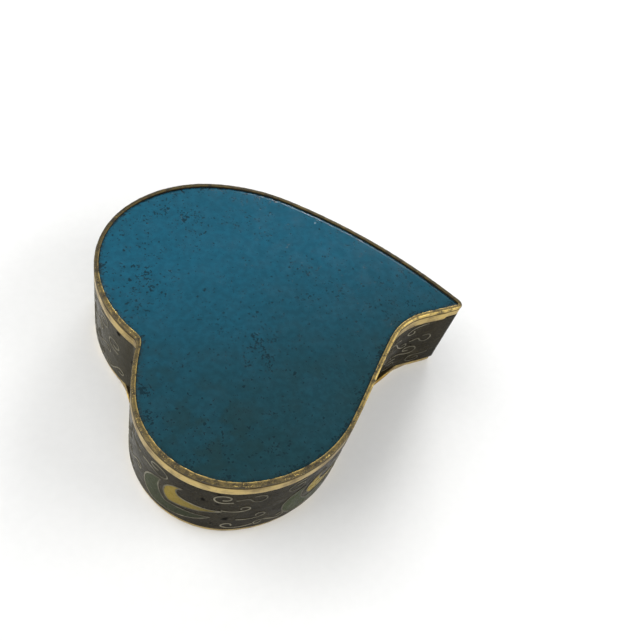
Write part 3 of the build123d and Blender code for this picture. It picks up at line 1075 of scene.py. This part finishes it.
def leaf_piece(name, arcs, proud):
    """Leaves wrapped on the wall, one for each spray, shaded from hook to tail."""
    loop = leaf_loop(arcs)
    flat = points_in(loop, 0.42 * MM, 0.2 * MM)
    sunk = -0.3 * MM
    hook, width = loop[:, 0].min(), np.ptp(loop[:, 0])
    joined = bmesh.new()
    for first, height in spray_places():
        bm = slab(loop, flat, sunk, lambda spots: np.full(len(spots), proud))
        co = np.array([v.co for v in bm.verts])
        placed = on_wall(co[:, 0] + first, 0.0, 0.0)
        out = on_wall(co[:, 0] + first, 0.0, 1.0) - placed
        placed = placed + out * co[:, 2:3]
        placed[:, 2] = co[:, 1] + height
        for v, point in zip(bm.verts, placed):
            v.co = point
        mesh = bpy.data.meshes.new("spray")
        bm.to_mesh(mesh)
        bm.free()
        marked_points(mesh, "Tail", (co[:, 0] - hook) / width)
        joined.from_mesh(mesh)
        bpy.data.meshes.remove(mesh)
    bmesh.ops.recalc_face_normals(joined, faces=joined.faces)
    return mesh_object(name, joined)


def curve_object(name, lines, kind="POLY", cyclic=False):
    """A curve object through flat points."""
    curve = bpy.data.curves.new(name, "CURVE")
    curve.dimensions = "3D"
    for points in lines:
        spline = curve.splines.new(kind)
        spline.points.add(len(points) - 1)
        for target, point in zip(spline.points, points):
            target.co = (point[0], point[1], 0.0, 1.0)
        spline.use_cyclic_u = cyclic
        if kind == "NURBS":
            spline.order_u = 4
            spline.use_endpoint_u = not cyclic
            spline.resolution_u = 6
    return new_object(name, curve)


def leaf_loops():
    """The flat outline of every leaf, at its place round the wall."""
    return [
        leaf_loop(arcs) + np.array(place)
        for place in spray_places()
        for arcs in (YELLOW_LEAF, GREEN_LEAF)
    ]


def scroll_spots():
    """Places for scrolls in staggered rows, clear of the leaves, the notch and the tip."""
    s = bpy.context.scene.trinket_sizes
    rng = random.Random(s.scroll_seed)
    leaf_points = np.concatenate([loop[::3] for loop in leaf_loops()])
    rows, end_gap, corner_clear, leaf_clear = 4, 2.3 * MM, 4.4 * MM, 2.8 * MM
    tall = BAND_BOTTOM - WALL_FOOT - 2 * end_gap
    per_row = round(PERIMETER / s.scroll_pitch)
    spots = []
    for row in range(rows):
        for place in range(per_row):
            round_ = (place + 0.5 * (row % 2)) * PERIMETER / per_row
            round_ += rng.uniform(-1, 1) * s.scroll_wander
            height = WALL_FOOT + end_gap + tall * row / (rows - 1)
            height += rng.uniform(-0.4, 0.4) * s.scroll_wander
            corner_gap = min(abs(round_ - TIP_ROUND), round_, PERIMETER - round_)
            leaf_gap = np.linalg.norm(leaf_points - (round_, height), axis=1).min()
            if corner_gap > corner_clear and leaf_gap > leaf_clear:
                spots.append((round_, height, 0.0))
    return spots


# --- Pieces ---


def heaped(points, heaps):
    """The sum of soft round heaps at each point. A heap is (x, y, reach, height)."""
    total = np.zeros(len(points))
    for x, y, reach, most in heaps:
        gap = np.linalg.norm(points - np.array((x, y)) * MM, axis=1)
        total += most * np.exp(-((gap / (reach * MM)) ** 2))
    return total


def band_step():
    """How much of the band's step there is round the outline, and where the strip's end lies."""
    wall = np.array([v.co for v in frame["nodes"]["wall_enamel"].data.vertices])
    high = wall[wall[:, 2] > BAND_BOTTOM + 0.1 * MM]
    places = how_far_round(high[:, :2])
    first, last = places.min(), places.max()
    blend = 0.35 * MM
    inside = ramp(ROUND, first - blend, first + blend)
    return inside * (1 - ramp(ROUND, last - blend, last + blend)), first


def gently_bent(reach):
    """How far the outline comes in when its bends are eased over a reach, or out if negative."""
    step = PERIMETER / COUNT
    span = round(3 * reach / step)
    offsets = np.arange(-span, span + 1)
    weights = np.exp(-0.5 * (offsets * step / reach) ** 2)
    weights /= weights.sum()
    eased = sum(w * np.roll(OUTLINE, -k, 0) for w, k in zip(weights, offsets))
    return np.sum((OUTLINE - eased) * OUTWARD, axis=1)


def wrapped(piece, tree, node, s, **more):
    """Turns flat curves or places into wire wrapped on the wall, and settles it."""
    guide = curve_object("wall_guide", [np.vstack([OUTLINE, OUTLINE[:1]])])
    inputs = {
        "Outline": guide,
        "Wire Width": s.wire_width,
        "Wire Depth": 0.25 * MM,
        "Wire Spacing": 0.42 * MM,
        "Proud": s.wire_proud,
        "Lowest": WALL_FOOT + 0.3 * MM,
        "Highest": BAND_BOTTOM - 0.3 * MM,
        "Material": shared_material("wire"),
    }
    wires = apply_nodes(piece, tree, **inputs, **more)
    bpy.data.objects.remove(guide)
    smoothed(wires.data, 50)
    settled(wires, "base", node)


class TRINKET_OT_copper(bpy.types.Operator):
    """Give the copper wall, floor and lid plate their finish"""

    bl_idname = "trinket.copper"
    bl_label = "Copper Sheet"

    def execute(self, context):
        sheet = copper_material()
        for node in ("base_wall", "base_floor", "lid_plate"):
            for place in frame["nodes"][node].material_slots:
                place.material = sheet
        return {"FINISHED"}


class TRINKET_OT_linings(bpy.types.Operator):
    """Make the enamel inside the wall, on the floor and under it"""

    bl_idname = "trinket.linings"
    bl_label = "Linings"

    def execute(self, context):
        rows = 16
        rings = [(LINING_OUTSIDE, FLOOR_TOP), (LINING_OUTSIDE, BAND_BOTTOM)]
        for k in range(rows + 1):
            rings.append((SHELL, BAND_BOTTOM - (BAND_BOTTOM - FLOOR_TOP) * k / rows))
        enamel = shared_material("inner")
        lining = ringed_piece("wall_lining", rings)
        settled(lining, "base", "lining_enamel", enamel)
        back, face = (corner.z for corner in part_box("floor_enamel"))
        plate = level_plate("floor_lining", SHELL, back, face)
        settled(plate, "base", "floor_enamel", enamel)
        face, back = (corner.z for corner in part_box("underside_enamel"))
        plate = level_plate("underside_lining", FOOT_INSIDE, back, face)
        settled(plate, "base", "underside_enamel", enamel)
        return {"FINISHED"}


class TRINKET_OT_foot_band(bpy.types.Operator):
    """Make the narrow brass foot band, bent more gently than the wall so that it shows"""

    bl_idname = "trinket.foot_band"
    bl_label = "Foot Band"

    def execute(self, context):
        s = context.scene.trinket_sizes
        eased = np.minimum(gently_bent(s.foot_ease), 0)
        face = np.maximum(FOOT_OUTSIDE - s.foot_out + eased, -s.foot_proud)
        rings = rounded_ring(face, FOOT_INSIDE, 0.0, WALL_FOOT, 0.25 * MM, 5, 4)
        # Painted shade: the foot band's top, under the wall's edge, is painted dark.
        dirt_and_shade = [0.0] * (len(rings) - 5) + [0.5, 0.9, 1.0, 0.4, 0.0]
        foot = ringed_piece("foot_band_strip", rings, {"Dirt": dirt_and_shade})
        dented(foot, s.band_wear * 2, 2 * MM, 17, shared_material("band"))
        settled(foot, "base", "foot_band")
        return {"FINISHED"}


class TRINKET_OT_wall_enamel(bpy.types.Operator):
    """Make the nearly black ground of the wall"""

    bl_idname = "trinket.wall_enamel"
    bl_label = "Wall Enamel"

    def execute(self, context):
        s = context.scene.trinket_sizes
        inside, _ = band_step()
        top = BAND_BOTTOM + (STEP_TOP - BAND_BOTTOM) * inside
        chamfer, sunk, ripple_size, rows = 0.12 * MM, 0.02 * MM, 4.2 * MM, 40
        rings = [(chamfer, WALL_FOOT)]
        for k in range(rows + 1):
            height = WALL_FOOT + chamfer + (top - WALL_FOOT - chamfer) * k / rows
            level = float(np.mean(height)) * 2.2
            ripple = np.array(
                [noise.noise(Vector((x, y, level)) / ripple_size) for x, y in OUTLINE]
            )
            held = math.sin(math.pi * k / rows) ** 0.5
            rings.append((sunk + s.wall_ripple * held * (0.5 + ripple), height))
        rings += [(GROUND_INSIDE, top), (GROUND_INSIDE, WALL_FOOT)]
        wall = ringed_piece("wall_ground", rings)
        settled(wall, "base", "wall_enamel", ground_material())
        return {"FINISHED"}


class TRINKET_OT_leaves(bpy.types.Operator):
    """Make the yellow and green leaves set in the wall"""

    bl_idname = "trinket.leaves"
    bl_label = "Leaves"

    def execute(self, context):
        c, proud = colours(), context.scene.trinket_sizes.wire_proud
        yellow = leaf_piece("leaf_yellow_fields", YELLOW_LEAF, proud * 0.4)
        fired = leaf_material("leaf_yellow_fired", c.leaf_hook, c.leaf_tail)
        settled(yellow, "base", "leaf_yellow", fired)
        green = leaf_piece("leaf_green_fields", GREEN_LEAF, proud * 0.3)
        fired = leaf_material("leaf_green_fired", c.green_top, c.green_foot)
        settled(green, "base", "leaf_green", fired)
        return {"FINISHED"}


class TRINKET_OT_leaf_wires(bpy.types.Operator):
    """Make the wires bent round the leaves"""

    bl_idname = "trinket.leaf_wires"
    bl_label = "Leaf Wires"

    def execute(self, context):
        flat = curve_object("leaf_wire_loops", leaf_loops(), cyclic=True)
        wrapped(flat, leaf_wire_tree(), "leaf_wires", context.scene.trinket_sizes)
        return {"FINISHED"}


class TRINKET_OT_cloud_wires(bpy.types.Operator):
    """Make the cloud scrolls of bent wire all round the wall"""

    bl_idname = "trinket.cloud_wires"
    bl_label = "Cloud Scrolls"

    def execute(self, context):
        s = context.scene.trinket_sizes
        patterns = bpy.data.collections.new("scroll_patterns")
        context.scene.collection.children.link(patterns)
        for name, points in SCROLL_PATTERNS.items():
            pattern = curve_object(name, [np.array(points) * MM], "NURBS")
            context.scene.collection.objects.unlink(pattern)
            patterns.objects.link(pattern)
        mesh = bpy.data.meshes.new("scroll_places")
        mesh.from_pydata(scroll_spots(), [], [])
        wrapped(
            new_object("cloud_scroll_wires", mesh),
            scroll_tree(),
            "cloud_wires",
            s,
            Patterns=patterns,
            Kinds=len(SCROLL_PATTERNS),
            Tilt=0.3,
            Smallest=0.84,
            Largest=1.04,
            Seed=s.scroll_seed,
        )
        for pattern in list(patterns.objects):
            bpy.data.objects.remove(pattern)
        bpy.data.collections.remove(patterns)
        return {"FINISHED"}


class TRINKET_OT_mouth_band(bpy.types.Operator):
    """Make the golden band round the mouth, with the joint in its strip near the tip"""

    bl_idname = "trinket.mouth_band"
    bl_label = "Mouth Band"

    def execute(self, context):
        s = context.scene.trinket_sizes
        inside, joint = band_step()
        chamfer, radius, rows = 0.15 * MM, 0.14 * MM, 10
        bead_width, bead_height, bead_level = 0.42 * MM, 0.4 * MM, 0.45 * MM
        foot = BAND_BOTTOM + (STEP_TOP - BAND_BOTTOM) * inside
        sunk = 0.06 * MM * inside
        rings = [(sunk + radius, foot), (sunk + radius * 0.3, foot + radius * 0.3)]
        for k in range(rows + 1):
            height = foot + radius + (SEAT - chamfer - foot - radius) * k / rows
            along, up = (ROUND - joint) / bead_width, (height - foot - bead_level) / bead_height
            crown = 0.02 * MM * math.sin(math.pi * k / rows)
            rings.append((sunk - 0.16 * MM * np.exp(-(along**2) - up**2) - crown, height))
        rings += [(chamfer, SEAT), (GROUND_INSIDE, SEAT), (SHELL, SEAT), (SHELL, BAND_BOTTOM)]
        rings += [(GROUND_INSIDE, BAND_BOTTOM), (GROUND_INSIDE, foot)]
        # Darkened at the band's foot by the wall and at the seam by the lid: partly dirt, partly
        # painted shade.
        dirt_and_shade = [0.6, 0.3] + [0.0] * rows + [0.7, 1.0] + [0.3, 0, 0, 0, 0]
        band = ringed_piece("mouth_band_strip", rings, {"Dirt": dirt_and_shade})
        dented(band, s.band_wear, 3 * MM, 11, shared_material("band"))
        settled(band, "base", "mouth_band")
        return {"FINISHED"}


class TRINKET_OT_lid_underside(bpy.types.Operator):
    """Make the lid's locating collar and the enamel inside it"""

    bl_idname = "trinket.lid_underside"
    bl_label = "Lid Collar and Lining"

    def execute(self, context):
        s = context.scene.trinket_sizes
        rings = rounded_ring(COLLAR_OUTSIDE, COLLAR_INSIDE, COLLAR_FOOT, SEAT, 0.12 * MM, 3, 4)
        collar = ringed_piece("lid_collar_ring", rings, {"Dirt": [0.0] * len(rings)})
        dented(collar, s.band_wear, 4 * MM, 5, shared_material("band"))
        settled(collar, "lid", "lid_collar")
        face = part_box("lid_lining")[0].z
        lining = level_plate("lid_lining_enamel", COLLAR_INSIDE, SEAT, face)
        settled(lining, "lid", "lid_lining", shared_material("inner"))
        return {"FINISHED"}


class TRINKET_OT_lid_enamel(bpy.types.Operator):
    """Make the turquoise enamel on the lid, with its rounded edge, waves and pits"""

    bl_idname = "trinket.lid_enamel"
    bl_label = "Lid Enamel"

    # Where the pits and the stains are thick: x, y, reach in millimetres, and how thick.
    pitted_places = (
        (-33, -20, 5, 0.7), (-31, 8, 6, 0.55), (-22, 26, 7, 0.5), (-6, 31, 6, 0.35),
        (-8, -8, 6, 0.45), (4, 6, 9, 0.2), (26, 4, 6, 0.6), (33, -2, 4, 0.8), (-14, -30, 7, 0.4),
    )
    stained_places = (
        (-18, -26, 11, 0.9), (-28, -12, 6, 0.5), (22, -6, 8, 0.6), (2, -16, 8, 0.4),
    )

    def execute(self, context):
        s = context.scene.trinket_sizes

        def waves(spots, size, level):
            return np.array([noise.noise(Vector((x, y, level)) / size) for x, y in spots])

        def face(spots, edge):
            across = 0.42 * spots[:, 0] + 0.9 * spots[:, 1]
            far = 0.25 + 0.75 * ramp(across, 8 * MM, 18 * MM)
            drop = far * s.shoulder_drop * (1 - ramp(edge, 0, s.shoulder_width)) ** 1.5
            rolling = 0.8 * waves(spots, 9 * MM, 0) + 0.2 * waves(spots, 2.6 * MM, 3 * MM)
            return ENAMEL_TOP - s.enamel_wave - drop + s.enamel_wave * rolling

        margin = s.shoulder_width + 0.2 * MM
        lid = heart_plate(
            "lid_enamel_face", RIM_INSIDE, ENAMEL_BED, face, s.enamel_grid, margin
        )
        co = np.array([v.co.xy for v in lid.data.vertices])
        edge = away(co) - RIM_INSIDE
        pitting = 0.55 * np.exp(-((edge / (1.3 * MM)) ** 2)) + heaped(co, self.pitted_places)
        marked_points(lid.data, "Pitting", np.clip(pitting, 0, 1))
        marked_points(lid.data, "Edge", np.exp(-((edge / (0.55 * MM)) ** 2)))
        marked_points(lid.data, "Stain", np.clip(heaped(co, self.stained_places), 0, 1))
        settled(lid, "lid", "lid_enamel", lid_enamel_material())
        return {"FINISHED"}


class TRINKET_OT_lid_rim(bpy.types.Operator):
    """Make the worn brass rim round the lid"""

    bl_idname = "trinket.lid_rim"
    bl_label = "Lid Rim"

    def execute(self, context):
        s = context.scene.trinket_sizes
        chamfer, edge, inner = 0.15 * MM, 0.35 * MM, 0.12 * MM
        rings = [(chamfer, SEAT), (0.0, SEAT + chamfer), (0.0, (SEAT + TOP) / 2)]
        for t in quarter_turn(5):
            rings.append((edge * (1 - math.cos(t)), TOP - edge * (1 - math.sin(t))))
        rings += [(edge + (RIM_INSIDE - inner - edge) * k / 3, TOP) for k in (1, 2, 3)]
        rings += [(RIM_INSIDE - inner * 0.3, TOP - inner * 0.3), (RIM_INSIDE, TOP - inner)]
        rings += [(RIM_INSIDE, ENAMEL_BED), (RIM_INSIDE, SEAT)]

        # The near side is rubbed by handling. The far side is painted darker as painted shade, and
        # its inner edge is less bright.
        handled = ramp(ROUND, 0.27 * PERIMETER, 0.34 * PERIMETER)
        handled *= 1 - ramp(ROUND, TIP_ROUND - 1.5 * MM, TIP_ROUND + 0.5 * MM)
        far = ramp(ROUND, TIP_ROUND - 1 * MM, TIP_ROUND + 2 * MM)
        far *= 1 - ramp(ROUND, 0.86 * PERIMETER, 0.97 * PERIMETER)
        outer_side = [1] * 6 + [0.9, 0.75, 0.5, 0.15] + [0] * 6
        inner_edge = [0] * 10 + [0.1, 0.6, 1, 0.6, 0, 0]
        seam = [1, 0.8] + [0] * 12 + [1, 1]
        marks = {
            "Rubbed": [
                np.maximum(a * handled, b * (1 - 0.7 * far))
                for a, b in zip(outer_side, inner_edge)
            ],
            # Dirt in the seam, less where handled, and painted shade on the far side.
            "Dirt": [
                np.clip(value * (1 - 0.6 * handled * share) + 0.45 * far, 0, 1)
                for value, share in zip(seam, outer_side)
            ],
        }
        rim = ringed_piece("lid_rim_worn", rings, marks)
        dented(rim, s.rim_wear, s.rim_wear_grain, 3, rim_material())
        settled(rim, "lid", "lid_rim")
        return {"FINISHED"}


# --- Stage ---


def soft_light(name, place, target, width, height, power):
    """A large soft lamp that faces a target."""
    lamp = bpy.data.lights.new(name, "AREA")
    lamp.shape = "RECTANGLE"
    lamp.size, lamp.size_y = width, height
    lamp.energy = power
    holder = new_object(name, lamp)
    holder.location = place
    holder.rotation_euler = (Vector(target) - Vector(place)).to_track_quat("-Z", "Y").to_euler()


class TRINKET_OT_stage(bpy.types.Operator):
    """Set out the floor, the soft lights and the camera"""

    bl_idname = "trinket.stage"
    bl_label = "Stage"

    def execute(self, context):
        studio = context.scene.trinket_studio
        scene = context.scene
        half = 1.6
        corners = [(-half, -half, 0), (half, -half, 0), (half, half, 0), (-half, half, 0)]
        floor_mesh = bpy.data.meshes.new("floor")
        floor_mesh.from_pydata(corners, [], [(0, 1, 2, 3)])
        floor = new_object("floor", floor_mesh)
        floor.location.z = CAD_LOW.z
        paper, make, shader, place = new_material("floor_paper")
        grain = patches(make, place, (2,), 0.3, 0.7)
        base = Vector(studio.floor)
        feed(shader.inputs["Base Color"], blended(make, grain, rgb(base * 0.985), rgb(base)))
        shader.inputs["Roughness"].default_value = 0.9
        shader.inputs["Specular IOR Level"].default_value = 0.2
        floor_mesh.materials.append(paper)

        middle = (0, 0, 0)
        soft_light("key_light", (-0.44, 0.10, 0.40), middle, 0.70, 0.60, studio.key_power)
        soft_light("front_light", (0.10, -0.50, 0.30), middle, 0.50, 0.30, studio.front_power)
        soft_light("right_light", (0.50, -0.12, 0.35), middle, 0.45, 0.35, studio.right_power)
        lid = (0.02, 0.02, 0.02)
        soft_light("strip_light", (0.25, 0.52, 0.22), lid, 0.26, 0.03, studio.strip_power)

        world = bpy.data.worlds.new("room")
        scene.world = world
        world.use_nodes = True
        tree = world.node_tree
        tree.nodes.clear()
        make = maker(tree)
        looking = make("ShaderNodeTexCoord").outputs["Generated"]
        up = make("ShaderNodeSeparateXYZ", {"Vector": looking}).outputs["Z"]
        strength = ranged(make, up, 0.16, 0.42, studio.horizon, studio.room)
        air = make("ShaderNodeBackground", {"Color": (0.97, 0.985, 1.0, 1.0), "Strength": strength})
        make("ShaderNodeOutputWorld", {"Surface": air.outputs[0]})

        camera = new_object("camera", bpy.data.cameras.new("camera"))
        camera.data.lens, camera.data.sensor_width = 41.34, 36.0
        camera.data.clip_start, camera.data.clip_end = 0.01, 10.0
        camera.location = (-0.03494, -0.08482, 0.13515)
        camera.rotation_euler = [math.radians(a) for a in (37.17, -12.81, -9.54)]
        scene.camera = camera
        scene.view_settings.view_transform = "Standard"
        return {"FINISHED"}


# --- Add-on ---


OPERATORS = (
    TRINKET_OT_stage,
    TRINKET_OT_copper,
    TRINKET_OT_linings,
    TRINKET_OT_foot_band,
    TRINKET_OT_wall_enamel,
    TRINKET_OT_leaves,
    TRINKET_OT_leaf_wires,
    TRINKET_OT_cloud_wires,
    TRINKET_OT_mouth_band,
    TRINKET_OT_lid_underside,
    TRINKET_OT_lid_enamel,
    TRINKET_OT_lid_rim,
)


class TRINKET_PT_pieces(bpy.types.Panel):
    """The box's pieces, sizes and colours"""

    bl_idname = "TRINKET_PT_pieces"
    bl_label = "Trinket Box"
    bl_space_type = "VIEW_3D"
    bl_region_type = "UI"
    bl_category = "Trinket Box"

    def draw(self, context):
        layout = self.layout
        for group in (
            context.scene.trinket_sizes,
            context.scene.trinket_colours,
            context.scene.trinket_studio,
        ):
            box = layout.box()
            for name in group.__annotations__:
                box.prop(group, name)
        for operator in OPERATORS:
            layout.operator(operator.bl_idname)


CLASSES = (TrinketSizes, TrinketColours, TrinketStudio, *OPERATORS, TRINKET_PT_pieces)


def register():
    """Registers the classes and hangs the settings on the scene."""
    for cls in CLASSES:
        bpy.utils.register_class(cls)
    bpy.types.Scene.trinket_sizes = PointerProperty(type=TrinketSizes)
    bpy.types.Scene.trinket_colours = PointerProperty(type=TrinketColours)
    bpy.types.Scene.trinket_studio = PointerProperty(type=TrinketStudio)


def unregister():
    """Takes the settings and the classes away again."""
    del bpy.types.Scene.trinket_studio
    del bpy.types.Scene.trinket_colours
    del bpy.types.Scene.trinket_sizes
    for cls in reversed(CLASSES):
        bpy.utils.unregister_class(cls)


def main():
    """Makes every piece in order."""
    register()
    for operator in OPERATORS:
        getattr(bpy.ops.trinket, operator.bl_idname.split(".")[1])()


if __name__ == "__main__":
    main()
